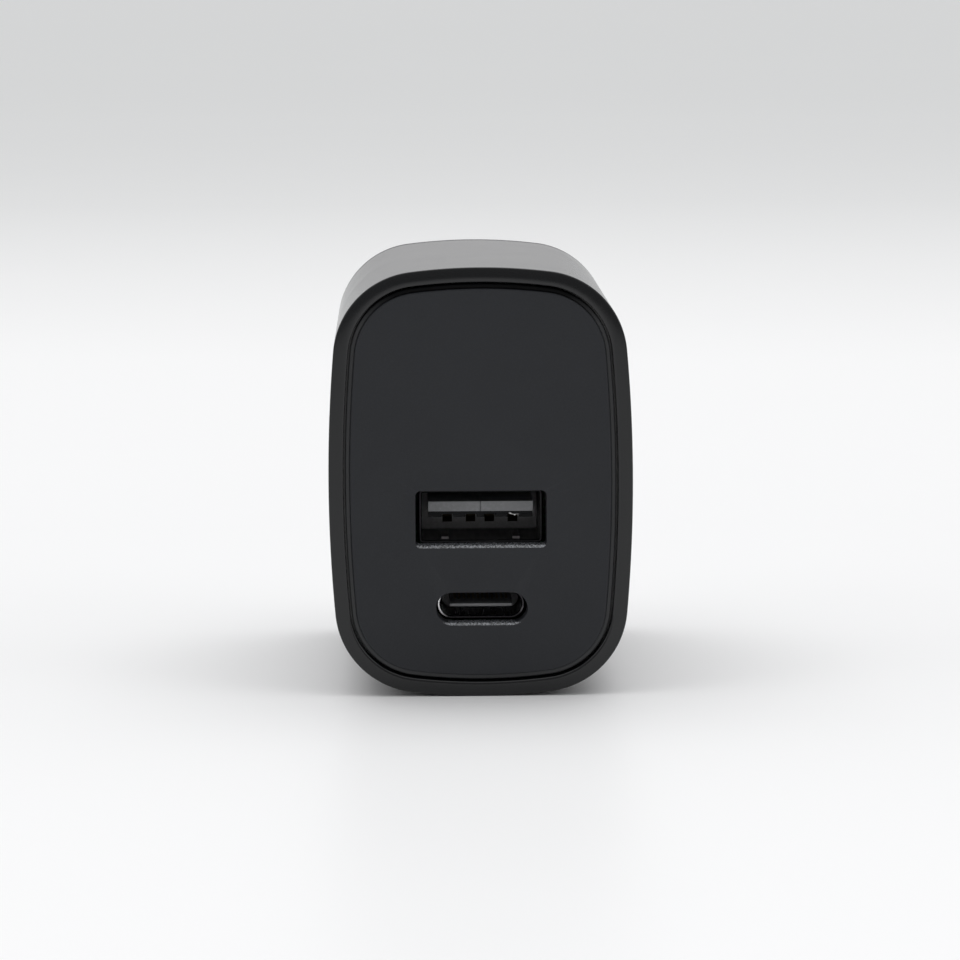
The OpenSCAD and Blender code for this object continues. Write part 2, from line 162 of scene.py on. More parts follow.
def face_frame(p, s):
    """Face frame to the row frame: x right, y up from the face's middle, s behind the rim."""
    return (p[0] / 1000, (s - HALF_D) / 1000, (p[1] + HALF_H) / 1000)


def side_frame(p, x):
    """Side frame: p is (height above the face's middle, depth behind the rim), x across."""
    return (x / 1000, (p[1] - HALF_D) / 1000, (p[0] + HALF_H) / 1000)


def top_frame(p, z):
    """Top frame: p is (x, depth behind the rim), z the height above the face's middle."""
    return (p[0] / 1000, (p[1] - HALF_D) / 1000, (z + HALF_H) / 1000)


class Piece:
    """Collects rings of points and the faces between them, in a chosen frame."""

    def __init__(self, to3=face_frame):
        self.to3, self.v, self.p, self.f, self.m = to3, [], [], [], []

    def ring(self, loop, d):
        start = len(self.v)
        self.v += [self.to3(p, d) for p in loop]
        self.p += [(p[0], p[1]) for p in loop]
        return list(range(start, len(self.v)))

    def strip(self, a, b, mat=0):
        n = len(a)
        for i in range(n):
            j = (i + 1) % n
            self.f.append((a[i], a[j], b[j], b[i]))
            self.m.append(mat)

    def strips(self, rings, mats=None, close=False):
        pairs = list(zip(rings, rings[1:])) + ([(rings[-1], rings[0])] if close else [])
        for k, (a, b) in enumerate(pairs):
            self.strip(a, b, mats[k] if mats else 0)

    def cap(self, rings, mat=0):
        idx = [i for r in rings for i in r]
        edges, base = [], 0
        for r in rings:
            edges += [(base + i, base + (i + 1) % len(r)) for i in range(len(r))]
            base += len(r)
        pts, _, faces, ov, _, _ = delaunay_2d_cdt([Vector(self.p[i]) for i in idx], edges, [], 2, 1e-9)
        holes = [[self.p[i] for i in r] for r in rings[1:]]
        for f in faces:
            x, y = sum(pts[i][0] for i in f) / len(f), sum(pts[i][1] for i in f) / len(f)
            if not any(inside(x, y, h) for h in holes):
                self.f.append(tuple(idx[ov[i][0]] for i in f))
                self.m.append(mat)

    def plate(self, outer, holes, d0, d1, r0=0.0, r1=0.0, seg=3, mat=0, edge_mat=None):
        """A plate from d0 to d1 whose edges are rounded by r0 at d0 and r1 at d1."""
        em = mat if edge_mat is None else edge_mat
        first, last = [], []
        if r0 > 0:
            r0 = min(fits(x, r0) for x in [outer] + list(holes))
        if r1 > 0:
            r1 = min(fits(x, r1) for x in [outer] + list(holes))
        for loop, sign in [(outer, 1)] + [(h, -1) for h in holes]:
            rings = []
            if r0 > 0:
                for i in range(seg):
                    a = math.pi / 2 * i / seg
                    rings.append(self.ring(inset(loop, sign * r0 * (1 - math.sin(a))), d0 + r0 * (1 - math.cos(a))))
            rings.append(self.ring(loop, d0 + r0))
            rings.append(self.ring(loop, d1 - r1))
            if r1 > 0:
                for i in range(1, seg + 1):
                    a = math.pi / 2 * i / seg
                    rings.append(self.ring(inset(loop, sign * r1 * (1 - math.cos(a))), d1 - r1 * (1 - math.sin(a))))
            self.strips(rings, [em] * (len(rings) - 1))
            first.append(rings[0])
            last.append(rings[-1])
        self.cap(first, mat)
        self.cap(last, mat)

    def tube(self, pairs, close=True, mats=None):
        """Rings given as (loop, depth), joined in order."""
        rings = [self.ring(loop, d) for loop, d in pairs]
        self.strips(rings, mats, close)
        return rings

    def turned(self, profile, to, n=48, mat=0, closed_ends=True):
        """A turned solid: profile is (radius, height) and to(x, y, h) gives the place."""
        start = len(self.v)
        rings = []
        for r, h in profile:
            if r < 1e-9:
                self.v.append(to(0.0, 0.0, h))
                self.p.append((0, 0))
                rings.append([len(self.v) - 1])
                continue
            row = []
            for i in range(n):
                a = 2 * math.pi * i / n
                self.v.append(to(r * math.cos(a), r * math.sin(a), h))
                self.p.append((0, 0))
                row.append(len(self.v) - 1)
            rings.append(row)
        for a, b in zip(rings, rings[1:]):
            for i in range(n):
                j = (i + 1) % n
                if len(a) == 1 and len(b) == 1:
                    continue
                if len(a) == 1:
                    self.f.append((a[0], b[j], b[i]))
                elif len(b) == 1:
                    self.f.append((a[i], a[j], b[0]))
                else:
                    self.f.append((a[i], a[j], b[j], b[i]))
                self.m.append(mat)
        return start

    def make(self, name, mats, body, replaces=(), sharp=40.0):
        mesh = bpy.data.meshes.new(name)
        mesh.from_pydata(self.v, [], self.f)
        bm = bmesh.new()
        bm.from_mesh(mesh)
        bm.faces.ensure_lookup_table()
        for f, m in zip(bm.faces, self.m):
            f.material_index = m
            f.smooth = True
        bmesh.ops.remove_doubles(bm, verts=bm.verts, dist=2e-7)
        bmesh.ops.dissolve_degenerate(bm, edges=bm.edges, dist=1e-8)
        bmesh.ops.recalc_face_normals(bm, faces=bm.faces)
        bm.to_mesh(mesh)
        bm.free()
        for m in mats:
            mesh.materials.append(m)
        mesh.set_sharp_from_angle(angle=math.radians(sharp))
        o = bpy.data.objects.new(name, mesh)
        bpy.context.scene.collection.objects.link(o)
        w = o.modifiers.new("normals", "WEIGHTED_NORMAL")
        w.keep_sharp = True
        w.weight = 80
        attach(o, body)
        if replaces:
            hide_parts(*replaces)
        return o


# ------------------------------------------------------------------ materials
class Mat:
    def __init__(self, name):
        self.m = bpy.data.materials.new(name)
        self.m.use_nodes = True
        self.t = self.m.node_tree
        self.n, self.l = self.t.nodes, self.t.links
        self.b = self.n["Principled BSDF"]
        self.coord = self.n.new("ShaderNodeTexCoord").outputs["Object"]

    def scaled(self, x, y, z):
        k = self.n.new("ShaderNodeMapping")
        k.inputs["Scale"].default_value = (x, y, z)
        self.l.new(self.coord, k.inputs["Vector"])
        return k.outputs["Vector"]

    def noise(self, scale, detail=3.0, rough=0.55, vector=None, distort=0.0):
        k = self.n.new("ShaderNodeTexNoise")
        k.inputs["Scale"].default_value = scale
        k.inputs["Detail"].default_value = detail
        k.inputs["Roughness"].default_value = rough
        k.inputs["Distortion"].default_value = distort
        self.l.new(vector or self.coord, k.inputs["Vector"])
        return k.outputs["Fac"]

    def voronoi(self, scale, feature="F1", vector=None):
        k = self.n.new("ShaderNodeTexVoronoi")
        k.feature = feature
        k.inputs["Scale"].default_value = scale
        self.l.new(vector or self.coord, k.inputs["Vector"])
        return k.outputs["Distance"]

    def ramp(self, fac, stops):
        k = self.n.new("ShaderNodeValToRGB")
        e = k.color_ramp.elements
        while len(e) > 1:
            e.remove(e[-1])
        for i, (p, c) in enumerate(stops):
            x = e[0] if i == 0 else e.new(p)
            x.position = p
            x.color = (c, c, c, 1) if isinstance(c, float) else (*c, 1)
        self.l.new(fac, k.inputs["Fac"])
        return k.outputs["Color"]

    def math(self, op, a, b):
        k = self.n.new("ShaderNodeMath")
        k.operation = op
        for i, x in enumerate((a, b)):
            if isinstance(x, (int, float)):
                k.inputs[i].default_value = x
            else:
                self.l.new(x, k.inputs[i])
        return k.outputs[0]

    def remap(self, fac, lo, hi, a=0.25, b=0.75):
        k = self.n.new("ShaderNodeMapRange")
        k.inputs["From Min"].default_value = a
        k.inputs["From Max"].default_value = b
        k.inputs["To Min"].default_value = lo
        k.inputs["To Max"].default_value = hi
        self.l.new(fac, k.inputs["Value"])
        return k.outputs["Result"]

    def mix(self, fac, a, b, kind="MIX"):
        k = self.n.new("ShaderNodeMix")
        k.data_type = "RGBA"
        k.blend_type = kind
        for s, x in ((k.inputs["Factor"], fac), (k.inputs[6], a), (k.inputs[7], b)):
            if isinstance(x, (int, float)):
                s.default_value = x
            elif isinstance(x, tuple):
                s.default_value = (*x, 1)
            else:
                self.l.new(x, s)
        return k.outputs[2]

    def bump(self, height, distance, strength=1.0, under=None):
        k = self.n.new("ShaderNodeBump")
        k.inputs["Strength"].default_value = strength
        k.inputs["Distance"].default_value = distance
        self.l.new(height, k.inputs["Height"])
        if under is not None:
            self.l.new(under, k.inputs["Normal"])
        return k.outputs["Normal"]

    def pointiness(self):
        return self.n.new("ShaderNodeNewGeometry").outputs["Pointiness"]

    def set(self, name, value):
        s = self.b.inputs[name]
        if isinstance(value, (int, float)):
            s.default_value = value
        elif isinstance(value, tuple):
            s.default_value = (*value, 1) if len(value) == 3 else value
        else:
            self.l.new(value, s)
        return self


def plastic(name, colour, rough, grain=0.000004, grain_scale=5200.0, vary=0.10, gloss_vary=0.05, wear=0.0, spec=0.5):
    """Moulded plastic: spark-eroded grain, cloudy tone, and a little shine on worn edges."""
    m = Mat(name)
    tone = m.noise(55.0, 4.0, 0.6)
    fine = m.noise(grain_scale, 2.0, 0.6)
    cells = m.voronoi(grain_scale * 0.45)
    dark = tuple(c * (1 - vary) for c in colour)
    light = tuple(c * (1 + vary) for c in colour)
    col = m.ramp(tone, [(0.3, dark), (0.7, light)])
    col = m.mix(m.remap(fine, 0.0, 0.22, 0.45, 0.75), col, tuple(min(1.0, c * 1.8) for c in colour))
    if wear:
        edge = m.remap(m.pointiness(), 0.0, wear, 0.51, 0.60)
        col = m.mix(edge, col, tuple(min(1.0, c * 2.4 + 0.02) for c in colour))
    m.set("Base Color", col)
    m.set("Roughness", m.remap(m.noise(170.0, 3.0), rough - gloss_vary, rough + gloss_vary))
    m.set("IOR", 1.5)
    m.set("Specular IOR Level", spec)
    if grain:
        h = m.math("ADD", fine, m.math("MULTIPLY", cells, 0.6))
        m.set("Normal", m.bump(h, grain))
    return m.m


def glint_speck_plastic(name, colour):
    """Gritty, glossy skin at a sharp opening, with bright specks painted into its colour as painted glints of the
    overhead light.
    """
    m = Mat(name)
    grit_and_glint = m.noise(4200.0, 4.0, 0.7)
    chips = m.voronoi(5200.0)
    # painted highlight: the specks lift the colour up to eight times the base, standing in for glints
    m.set("Base Color", m.ramp(grit_and_glint, [(0.42, tuple(c * 0.7 for c in colour)), (0.60, tuple(c * 8.0 for c in colour))]))
    m.set("Roughness", m.remap(grit_and_glint, 0.16, 0.34, 0.3, 0.7))
    m.set("IOR", 1.6)
    m.set("Specular IOR Level", 1.0)
    m.set("Normal", m.bump(m.math("ADD", grit_and_glint, m.math("MULTIPLY", chips, 0.8)), 0.00007))
    return m.m


def gloss_plastic(name, colour, rough):
    """Lightly polished plastic: faint orange peel, hair scratches and handling marks."""
    m = Mat(name)
    tone = m.noise(40.0, 3.0)
    m.set("Base Color", m.ramp(tone, [(0.3, tuple(c * 0.9 for c in colour)), (0.7, tuple(c * 1.1 for c in colour))]))
    hair = m.noise(420.0, 2.0, 0.5, m.scaled(1.0, 0.05, 1.0), 0.4)
    smear = m.noise(70.0, 5.0, 0.65, None, 0.6)
    r = m.math("ADD", m.remap(smear, rough - 0.010, rough + 0.014), m.remap(hair, 0.0, 0.012, 0.55, 0.75))
    m.set("Roughness", r)
    m.set("IOR", 1.46)
    peel = m.noise(900.0, 2.0, 0.5)
    m.set("Normal", m.bump(peel, 0.0000012, 1.0, m.bump(m.noise(5200.0, 2.0), 0.0000006)))
    return m.m


def metal(name, colour, rough, brush=(1.0, 0.06, 1.0), brush_scale=2600.0, tarnish=0.12, bump=0.0000015):
    """Plated sheet metal: fine rolling lines, clouded plating and small pits."""
    m = Mat(name)
    lines = m.noise(brush_scale, 3.0, 0.6, m.scaled(*brush))
    cloud = m.noise(260.0, 4.0, 0.6)
    m.set("Base Color", m.ramp(cloud, [(0.25, tuple(c * (1 - tarnish) for c in colour)), (0.75, tuple(min(1.0, c * (1 + tarnish / 2)) for c in colour))]))
    m.set("Metallic", 1.0)
    m.set("Roughness", m.math("ADD", m.remap(cloud, rough - 0.05, rough + 0.06), m.remap(lines, -0.04, 0.06)))
    pits = m.remap(m.voronoi(1500.0), 0.0, 1.0, 0.0, 0.12)
    m.set("Normal", m.bump(lines, bump, 1.0, m.bump(pits, 0.000002)))
    return m.m


M = {}
M["housing"] = gloss_plastic("housing_black", (0.0062, 0.0066, 0.0074), 0.15)
M["panel"] = plastic("panel_black", (0.0146, 0.0160, 0.0192), 0.50, 0.0000045, 5200.0, 0.07, 0.05, 0.0, 0.34)


def ledge_plastic():
    """Moulded ledge, plain at the sides; along its top run the colour is painted near-black and the specular level
    lowered, as painted shade cast by the rim's overhang.
    """
    m = Mat("panel_ledge")
    xyz = m.n.new("ShaderNodeSeparateXYZ")
    m.l.new(m.coord, xyz.inputs[0])
    tone = m.noise(55.0, 4.0, 0.6)
    fine = m.noise(5200.0, 2.0, 0.6)
    # painted shade: 0 below 39.5 mm, 1 above 42.5 mm, blending the top run to near-black
    dull = m.remap(xyz.outputs["Z"], 0.0, 1.0, 0.0395, 0.0425)
    col = m.ramp(tone, [(0.3, (0.0244, 0.0258, 0.0282)), (0.7, (0.0276, 0.0292, 0.0318))])
    m.set("Base Color", m.mix(dull, col, (0.0030, 0.0032, 0.0036)))
    # the same painted shade also lowers the specular level along the top run
    m.set("Specular IOR Level", m.remap(xyz.outputs["Z"], 0.5, 0.08, 0.0395, 0.0425))
    m.set("Roughness", m.remap(m.noise(170.0, 3.0), 0.29, 0.39))
    m.set("Normal", m.bump(fine, 0.000003))
    return m.m


M["ledge"] = ledge_plastic()
M["lead_in"] = glint_speck_plastic("panel_lead_in_glint", (0.030, 0.0315, 0.0345))
M["port_steel"] = metal("port_steel", (0.30, 0.305, 0.31), 0.30)
M["tongue_a"] = plastic("tongue_grey", (0.205, 0.209, 0.216), 0.48, 0.000004, 3000.0, 0.10, 0.06)
M["tongue_c"] = plastic("tongue_dark", (0.245, 0.250, 0.258), 0.42, 0.000004, 3000.0, 0.10, 0.06)
# A near-black copy of the tongue plastic for the tongue's set-back lower part and slot floors: painted shade where the
# shell shadows them.
M["tongue_under"] = plastic("tongue_underside", (0.0070, 0.0076, 0.0088), 0.55, 0.000004, 3000.0, 0.12, 0.06, 0.0, 0.22)
M["gold"] = metal("contact_gold", (0.83, 0.62, 0.28), 0.24, (1.0, 0.1, 1.0), 3500.0)
M["cover"] = plastic("cover_black", (0.0230, 0.0240, 0.0265), 0.46, 0.0000045, 4600.0, 0.08, 0.05)
M["carrier"] = plastic("carrier_black", (0.0190, 0.0200, 0.0225), 0.40, 0.0000035, 4600.0, 0.08, 0.05)
M["inner"] = plastic("inner_plastic", (0.045, 0.045, 0.05), 0.5, 0.000004, 3600.0)
M["blade"] = metal("blade_nickel", (0.70, 0.675, 0.63), 0.22, (1.0, 0.08, 1.0), 2200.0, 0.10)
M["steel"] = metal("screw_steel", (0.62, 0.62, 0.63), 0.28)
M["spring"] = metal("spring_steel", (0.60, 0.60, 0.60), 0.26)
M["bronze"] = metal("contact_bronze", (0.72, 0.46, 0.24), 0.28)
M["pin"] = metal("pin_gold", (0.80, 0.63, 0.32), 0.25, (1.0, 0.06, 1.0), 3000.0)
M["can"] = metal("can_aluminium", (0.78, 0.79, 0.80), 0.26, (1.0, 1.0, 0.06), 2400.0)
M["copper_strip"] = metal("spreader_copper", (0.78, 0.46, 0.30), 0.30)
M["wire"] = metal("wire_copper", (0.62, 0.26, 0.11), 0.30)
M["chip"] = plastic("chip_black", (0.018, 0.018, 0.020), 0.55, 0.000006, 3000.0)
M["opto"] = plastic("opto_white", (0.72, 0.72, 0.68), 0.5, 0.000004, 3000.0, 0.03)
M["x_case"] = plastic("case_yellow", (0.70, 0.48, 0.06), 0.42, 0.000004, 2500.0, 0.05)
M["bobbin"] = plastic("bobbin_green", (0.035, 0.12, 0.07), 0.45, 0.000004, 3000.0)
M["tape"] = plastic("tape_yellow", (0.74, 0.52, 0.07), 0.28, 0.000003, 1800.0, 0.05)
M["sleeve"] = plastic("sleeve_blue", (0.018, 0.036, 0.085), 0.28, 0.000002, 2000.0, 0.06)
M["disc"] = plastic("disc_blue", (0.03, 0.13, 0.33), 0.32, 0.000006, 900.0, 0.08)
M["ferrite"] = plastic("ferrite_dark", (0.040, 0.040, 0.043), 0.58, 0.000012, 1500.0, 0.15)
M["ferrite_grey"] = plastic("ferrite_grey", (0.10, 0.10, 0.105), 0.6, 0.000012, 1800.0, 0.15)
M["ring"] = plastic("ring_green", (0.03, 0.15, 0.07), 0.35, 0.000006, 1200.0, 0.08)
M["fuse"] = plastic("fuse_black", (0.025, 0.025, 0.027), 0.4, 0.000004, 3000.0)
M["film"] = plastic("film_clear", (0.55, 0.50, 0.34), 0.25, 0.000001, 900.0, 0.04)
M["pad"] = plastic("pad_grey", (0.33, 0.40, 0.46), 0.65, 0.000010, 2200.0, 0.10)


def glint_painted_shell():
    """Dark nickel with painted highlights: the colour is painted near-white at the left end of the mouth and in one
    small spot at the right, standing in for glints of the side lights.
    """
    m = Mat("port_shell_c")
    xyz = m.n.new("ShaderNodeSeparateXYZ")
    m.l.new(m.coord, xyz.inputs[0])
    # painted highlight masks: the mouth's left end, and a small spot low on the right
    left = m.remap(xyz.outputs["X"], 1.0, 0.0, -0.00425, -0.00350)
    right = m.math("MULTIPLY", m.remap(xyz.outputs["X"], 0.0, 0.30, 0.0041, 0.0045), m.remap(xyz.outputs["Z"], 1.0, 0.0, 0.0086, 0.0092))
    glint_mask = m.math("ADD", left, right)
    grain = m.noise(2600.0, 3.0, 0.6, m.scaled(1.0, 0.06, 1.0))
    m.set("Base Color", m.mix(m.math("MULTIPLY", glint_mask, m.remap(grain, 0.7, 1.0)), (0.052, 0.052, 0.055), (0.95, 0.95, 0.96)))
    m.set("Metallic", 1.0)
    m.set("Roughness", m.remap(grain, 0.22, 0.36))
    m.set("Normal", m.bump(grain, 0.0000015))
    return m.m


M["shell_c"] = glint_painted_shell()


def lip_shaded_shell():
    """Nickel painted dark along the rolled lip, as painted shade where the mouth sits in shadow, and plain behind it.
    """
    m = Mat("port_shell_a")
    xyz = m.n.new("ShaderNodeSeparateXYZ")
    m.l.new(m.coord, xyz.inputs[0])
    grain = m.noise(2600.0, 3.0, 0.6, m.scaled(1.0, 0.06, 1.0))
    cloud = m.noise(420.0, 4.0, 0.6)
    # painted shade: dark at the lip, fading to plain nickel about 1 mm behind it, with a random cloud
    lip_shade_fade = m.math("ADD", m.remap(xyz.outputs["Y"], 0.0, 1.0, -0.0206, -0.0196), m.remap(cloud, -0.12, 0.12))
    m.set("Base Color", m.mix(lip_shade_fade, (0.026, 0.026, 0.028), (0.17, 0.17, 0.175)))
    m.set("Metallic", 1.0)
    m.set("Roughness", m.remap(grain, 0.46, 0.60))
    m.set("Normal", m.bump(grain, 0.0000015))
    return m.m


M["shell_a"] = lip_shaded_shell()
# The USB-A springs' gold is painted nearly black, as painted shade deep inside the slots.
M["gold_dull"] = metal("contact_gold_shade", (0.060, 0.050, 0.032), 0.42, (1.0, 0.1, 1.0), 3500.0)
M["gold_matte"] = plastic("contact_gold_matte", (0.235, 0.205, 0.140), 0.42, 0.000003, 3600.0, 0.10, 0.06)
# Bright steel for a sliver placed at the fourth contact's tip to stand in for a glint there: painted highlight.
M["bare"] = metal("contact_bare_edge", (0.62, 0.62, 0.62), 0.34, (1.0, 0.3, 1.0), 5200.0, 0.5)
M["finger"] = metal("port_finger", (0.135, 0.125, 0.128), 0.42)
# The hidden back block is given a pale grey so the dark void inside the USB-A port reads a little brighter: painted
# fill light.
M["block"] = plastic("receptacle_block", (0.42, 0.42, 0.43), 0.5, 0.000004, 3000.0)
M["score"] = plastic("vent_score", (0.12, 0.12, 0.12), 0.5, 0.000003, 3000.0)


def board_material():
    """Solder mask over copper: traces as raised lines, pads and a glassy skin."""
    m = Mat("board_green")
    k = m.n.new("ShaderNodeTexBrick")
    k.inputs["Scale"].default_value = 260.0
    k.inputs["Mortar Size"].default_value = 0.035
    k.inputs["Color1"].default_value = (0.012, 0.085, 0.035, 1)
    k.inputs["Color2"].default_value = (0.016, 0.110, 0.045, 1)
    k.inputs["Mortar"].default_value = (0.030, 0.170, 0.070, 1)
    sw = m.n.new("ShaderNodeSeparateXYZ")
    cb = m.n.new("ShaderNodeCombineXYZ")
    m.l.new(m.coord, sw.inputs[0])
    m.l.new(sw.outputs["X"], cb.inputs["X"])
    m.l.new(sw.outputs["Z"], cb.inputs["Y"])
    m.l.new(cb.outputs[0], k.inputs["Vector"])
    tone = m.noise(300.0, 3.0)
    m.set("Base Color", m.mix(m.remap(tone, 0.0, 0.35), k.outputs["Color"], (0.010, 0.060, 0.028)))
    m.set("Roughness", m.remap(tone, 0.24, 0.40))
    m.set("Normal", m.bump(k.outputs["Fac"], 0.00002, 1.0, m.bump(m.noise(2600.0), 0.000002)))
    return m.m


M["board"] = board_material()

# ------------------------------------------------------------------ outer shell
shell = Piece()
profile = [
    (0.10, SEAM), (0.03, SEAM - 0.03), (0.0, SEAM - 0.10), (0.0, 36.0), (0.0, 28.0), (0.0, 20.0), (0.0, 12.0), (0.0, 5.0),
    (0.0, 0.62), (0.0, 0.28), (0.010, 0.215), (0.036, 0.160), (0.078, 0.122), (0.14, 0.100), (0.24, 0.084), (0.42, 0.060), (0.62, 0.036),
    (0.82, 0.017), (1.02, 0.005), (1.20, 0.0), (1.34, 0.006), (1.43, 0.032), (1.51, 0.076), (1.545, 0.14), (1.55, 0.22), (1.55, 1.2), (1.55, 2.2),
    (3.0, 2.2), (3.0, 3.5), (1.9, 3.5), (1.9, 16.0), (1.9, 30.0), (1.9, SEAM - 0.05), (1.95, SEAM),
]
shell.tube([(face_outline(t), s) for t, s in profile], True)
for y in (-9, 4):
    for sx in (-1, 1):
        shell.plate(rect(1.9, 3.0, 0.3, sx * 13.35, y + 1.5), [], 12.0, 14.5, 0.15, 0.1)
shell_obj = shell.make("shell_skin", [M["housing"]], "charger", ["outer_shell"])

# ------------------------------------------------------------------ front panel
panel = Piece()
BACK = 2.2
outer_rings = [
    panel.ring(face_outline(t), s)
    for t, s in [
        (1.86, BACK), (1.78, BACK - 0.06), (1.75, BACK - 0.16), (1.75, 0.82), (1.765, 0.76), (1.80, 0.715), (1.86, 0.70),
        (2.00, 0.70), (2.16, 0.70), (2.22, 0.705), (2.245, 0.72), (2.25, 0.66), (2.25, 0.50), (2.25, 0.34),
        (2.262, 0.275), (2.295, 0.228), (2.35, 0.204), (2.44, 0.200),
    ]
]
edge_mats = [0, 0, 0, 1, 1, 1, 1, 1, 1, 1, 0, 0, 0, 0, 0, 0, 0]
panel.strips(outer_rings, edge_mats)


def lean(loop, side, low):
    """A loop taken in by low at its lower edge and by side elsewhere."""
    out = []
    for p, q in zip(loop, inset(loop, 1e-3)):
        nx, ny = (q[0] - p[0]) / 1e-3, (q[1] - p[1]) / 1e-3
        k = side + (low - side) * max(0.0, ny / max(1.0, math.hypot(nx, ny))) ** 1.5
        out.append((p[0] + nx * k, p[1] + ny * k))
    return out


def lead_in(loop, r, d):
    """Rings of a rounded lead-in from the panel's face, through the throat, to its back."""
    rings = []
    seg = 8
    for i in range(seg + 1):
        a = math.pi / 2 * i / seg
        rings.append(panel.ring(lean(loop, 0.07 * math.sin(a), r * math.sin(a)), 0.2 + d * (1 - math.cos(a))))
    rings.append(panel.ring(lean(loop, 0.07, r), BACK))
    first = len(panel.f)
    panel.strips(rings, [0] * (seg + 1))
    # The lower lip, facing up into the overhead light, takes material 2 with its painted glints.
    low = min(y for x, y in loop)
    for i in range(first, len(panel.f)):
        ys = [panel.p[v][1] for v in panel.f[i]]
        if max(ys) < low + r * 1.25:
            panel.m[i] = 2
    return rings[0], rings[-1]


a_front, a_back = lead_in(rect(13.92, 6.12, 0.62, 0.0, PORT_A_Y, 8), 0.30, 0.34)
c_front, c_back = lead_in(rect(9.78, 3.54, 1.77, 0.04, PORT_C_Y, 16), 0.28, 0.30)
panel.cap([outer_rings[-1], a_front, c_front])
panel.cap([outer_rings[0], a_back, c_back])
for sy in (-1, 1):
    y0 = sy * 19.0
    panel.plate(rect(6.0, 1.1, 0.2, 0.0, y0), [], BACK - 0.05, 4.7, 0.0, 0.2)
    panel.plate(rect(6.0, 0.9, 0.2, 0.0, sy * 19.75), [], 3.6, 4.4, 0.15, 0.15)
panel_obj = panel.make("panel_skin", [M["panel"], M["ledge"], M["lead_in"]], "charger", ["front_panel"], 50.0)


# ------------------------------------------------------------------ receptacles
def can_shell(piece, w, h, r, t, mouth, back, cy):
    """A folded shell, open at the mouth: outer skin, rolled lip, inner skin, rear wall."""
    out = lambda d: rect(w - 2 * d, h - 2 * d, max(0.05, r - d), 0.0, cy, 12)
    rings = [(out(0.05), back), (out(0.0), back - 0.1), (out(0.0), 8.0), (out(0.0), mouth + 0.12), (out(0.03), mouth + 0.04), (out(0.09), mouth),
             (out(t - 0.12), mouth + 0.01), (out(t - 0.05), mouth + 0.06), (out(t), mouth + 0.18), (out(t), 8.0), (out(t), back - 0.3)]
    r_idx = piece.tube(rings, False)
    piece.cap([r_idx[0]])
    piece.cap([r_idx[-1]])


a_shell = Piece()
can_shell(a_shell, 13.1, 5.7, 0.45, 0.29, 2.7, 14.5, PORT_A_Y)
a_shell_obj = a_shell.make("usb_a_shell_skin", [M["shell_a"]], "charger", ["usb_a_shell"])

fingers = Piece(side_frame)
for x in (-3.77, 3.77):
    low = PORT_A_Y - 2.54
    fingers.plate(
        rounded([(low, 9.4), (low, 6.0), (low + 0.22, 4.4), (low + 0.22, 3.56), (low + 0.02, 3.44), (low + 0.02, 3.28), (low + 0.30, 3.38), (low + 0.36, 3.54), (low + 0.36, 4.5), (low + 0.14, 6.1), (low + 0.13, 9.4)][::-1], 0.03, 2),
        [], x - 0.38, x + 0.38, 0.03, 0.03, 2)
fingers_obj = fingers.make("usb_a_fingers", [M["finger"]], "charger")

c_shell = Piece()
can_shell(c_shell, 9.30, 3.08, 1.54, 0.30, 3.3, 14.5, PORT_C_Y + 0.04)
c_shell_obj = c_shell.make("usb_c_shell_skin", [M["shell_c"]], "charger", ["usb_c_shell"])

tongue = Piece(side_frame)
TS = 2.95
for x0, x1 in ((-5.55, -0.03), (0.03, 5.55)):
    tongue.plate(rounded([(-2.28, TS), (-3.36, TS), (-3.36, 11.9), (-2.28, 11.9)], 0.06, 3), [], x0, x1, 0.05, 0.05, 2)
tongue.plate(rounded([(-2.4, TS + 0.05), (-3.3, TS + 0.05), (-3.3, 11.9), (-2.4, 11.9)], 0.03, 2), [], -0.1, 0.1, 0.0, 0.0)
cuts = [-3.5, -1.0, 1.0, 3.5]
edges = [-5.55] + [v for c in cuts for v in (c - 0.62, c + 0.62)] + [5.55]
for x0, x1 in zip(edges[::2], edges[1::2]):
    tongue.plate(rounded([(-3.60, TS + 1.2), (-4.08, TS + 1.2), (-4.12, TS + 1.26), (-4.12, 11.9), (-3.30, 11.9), (-3.30, TS + 1.7), (-3.60, TS + 1.6)], 0.03, 2), [], x0, x1, 0.03, 0.03, 2, 1)
for x0, x1 in zip(edges[1::2], edges[2::2]):
    tongue.plate(rounded([(-3.30, TS + 1.2), (-3.52, TS + 1.3), (-3.52, 11.9), (-3.30, 11.9)], 0.03, 2), [], x0, x1, 0.0, 0.0, 2, 1)
tongue.plate(rounded([(-3.30, TS + 1.08), (-3.76, TS + 1.08), (-3.80, TS + 1.14), (-3.80, TS + 1.9), (-3.30, TS + 1.9)], 0.03, 2), [], -5.53, 5.53, 0.03, 0.03, 2, 1)
tongue_obj = tongue.make("usb_a_tongue_skin", [M["tongue_a"], M["tongue_under"]], "charger", ["usb_a_tongue"])
block = Piece()
block.plate(rect(12.5, 5.12, 0.25, 0.0, PORT_A_Y), [], 11.85, 14.2, 0.1, 0.05)
block_obj = block.make("usb_a_block", [M["block"]], "charger")

springs = Piece(side_frame)
for x in cuts:
    springs.plate(
        rounded([(-3.62, TS + 2.4), (-4.2, TS + 2.7), (-4.94, TS + 3.7), (-4.94, TS + 4.6), (-4.15, TS + 7.0), (-3.87, TS + 8.9),
                 (-3.62, TS + 8.9), (-3.88, TS + 6.9), (-4.67, TS + 4.5), (-4.67, TS + 3.85), (-3.92, TS + 2.95), (-3.60, TS + 2.7)], 0.05, 3),
        [], x - 0.5, x + 0.5, 0.05, 0.05, 2)
